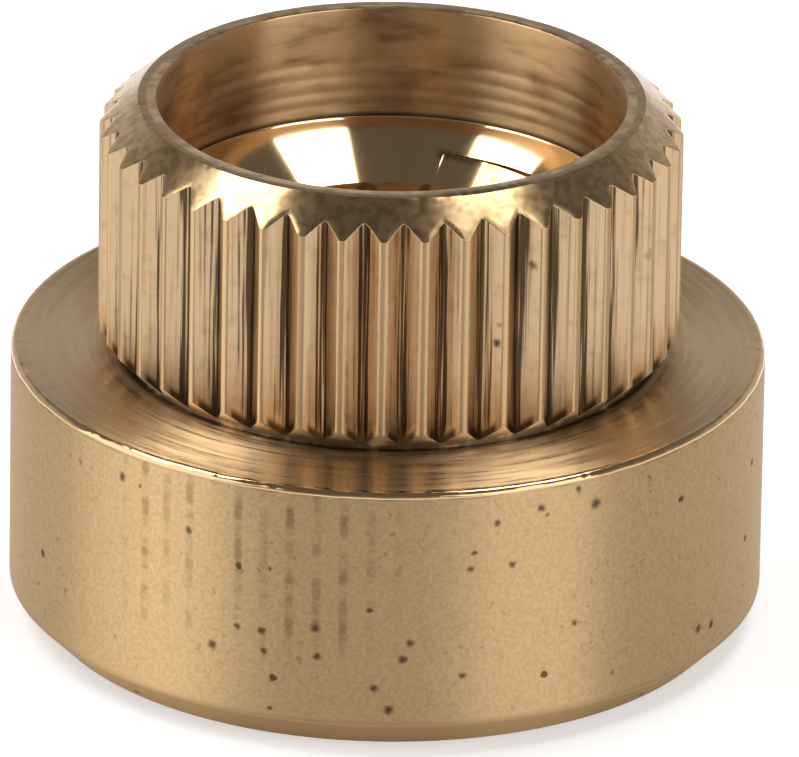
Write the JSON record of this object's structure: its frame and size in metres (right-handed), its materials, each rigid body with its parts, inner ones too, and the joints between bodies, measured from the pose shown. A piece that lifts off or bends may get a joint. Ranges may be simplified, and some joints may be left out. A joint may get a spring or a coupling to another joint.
{
  "type": "knurled round nut",
  "caption": "Turned brass round nut with a plain flange, a straight-knurled press-in spigot, a counterbore and a through thread.",
  "frame": {"origin": "centre of the flange's flat underside, on the thread's axis", "axes": "+Z along the thread's axis, from the flange up towards the knurled spigot; a knurl crest faces -Y"},
  "size_m": [0.0094, 0.0094, 0.0069],
  "materials": {
    "turned_brass": "satin, fine turned"
  },
  "bodies": {
    "root": {"knurled_nut": "turned_brass"}
  },
  "joints": []
}
